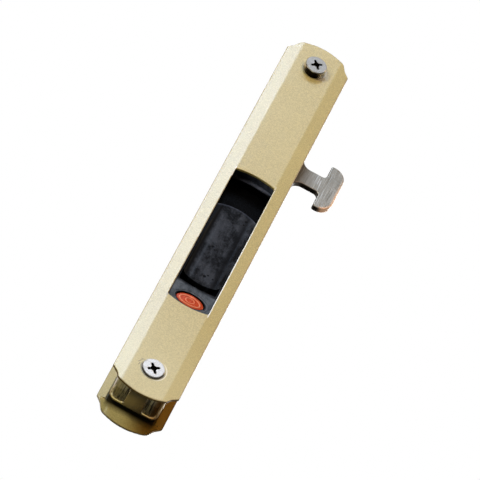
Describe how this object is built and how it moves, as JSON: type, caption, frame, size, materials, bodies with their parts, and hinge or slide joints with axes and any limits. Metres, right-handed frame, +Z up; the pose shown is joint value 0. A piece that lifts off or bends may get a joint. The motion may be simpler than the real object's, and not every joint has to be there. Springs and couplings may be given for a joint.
{
  "type": "sliding patio door lock",
  "caption": "Double-sided sliding door hook lock: bevelled gold face plates either side of a slim case, black thumb sliders and a spring-returned T-shaped steel hook.",
  "frame": {"origin": "middle of the front plate's seat, on the face of the door stile, halfway up the plates", "axes": "+X towards the hook, +Y from the front plate through the door to the rear plate, +Z up the lock"},
  "size_m": [0.0461, 0.0264, 0.21],
  "materials": {
    "plate_gold": "champagne gold metallic paint, satin, fine speckle",
    "case_gold": "champagne gold paint over zinc casting, glossier and darker",
    "black_liner": "black moulded plastic",
    "black_slider": "black nylon, matt, a little chalky from handling",
    "orange_button": "orange-red plastic, slightly glossy",
    "hook_steel": "stainless sheet, satin, fine scratches along its height",
    "screw_steel": "nickel-plated steel",
    "plain_steel": "zinc-plated steel",
    "spring_steel": "bright spring wire",
    "cast_zinc": "as-cast zinc, dull grey",
    "post_brass": "turned brass",
    "white_nylon": "natural nylon",
    "black_rubber": "black rubber"
  },
  "bodies": {
    "case": {"front_plate": "plate_gold", "rear_plate": "plate_gold", "case_body": "case_gold", "case_cover": "plain_steel", "cover_screws": "screw_steel", "lower_screw": "screw_steel", "upper_screw": "screw_steel", "lower_post": "post_brass", "upper_post": "post_brass", "front_liner": "black_liner", "rear_liner": "black_liner", "return_spring": "spring_steel", "spring_rod": "plain_steel", "upper_buffer": "black_rubber", "lower_buffer": "black_rubber", "guide_rails": "white_nylon"},
    "hook_carriage": {"carriage": "cast_zinc", "hook": "hook_steel", "hook_rivets": "plain_steel", "drive_pin": "plain_steel"},
    "front_slider": {"front_slider": "black_slider", "button_spring": "spring_steel"},
    "rear_slider": {"rear_slider": "black_slider"},
    "release_button": {"release_button": "orange_button", "button_clip": "spring_steel"}
  },
  "joints": [
    {"name": "hook_slide", "type": "slide", "parent": "case", "child": "hook_carriage", "axis": [0, 0, 1], "range_m": [0, 0.016], "stiffness_N_per_m": 220, "springref_m": -0.015, "deforming": ["return_spring"]},
    {"name": "front_slide", "type": "slide", "parent": "case", "child": "front_slider", "axis": [0, 0, 1], "range_m": [0, 0.016]},
    {"name": "rear_slide", "type": "slide", "parent": "case", "child": "rear_slider", "axis": [0, 0, 1], "range_m": [0, 0.016]},
    {"name": "button_press", "type": "slide", "parent": "front_slider", "child": "release_button", "axis": [0, 1, 0], "range_m": [0, 0.001], "stiffness_N_per_m": 300, "springref_m": -0.004, "deforming": ["button_spring"]}
  ],
  "couplings": [
    {"joint": "front_slide", "follows": "hook_slide", "ratio": 1},
    {"joint": "rear_slide", "follows": "hook_slide", "ratio": 1}
  ]
}
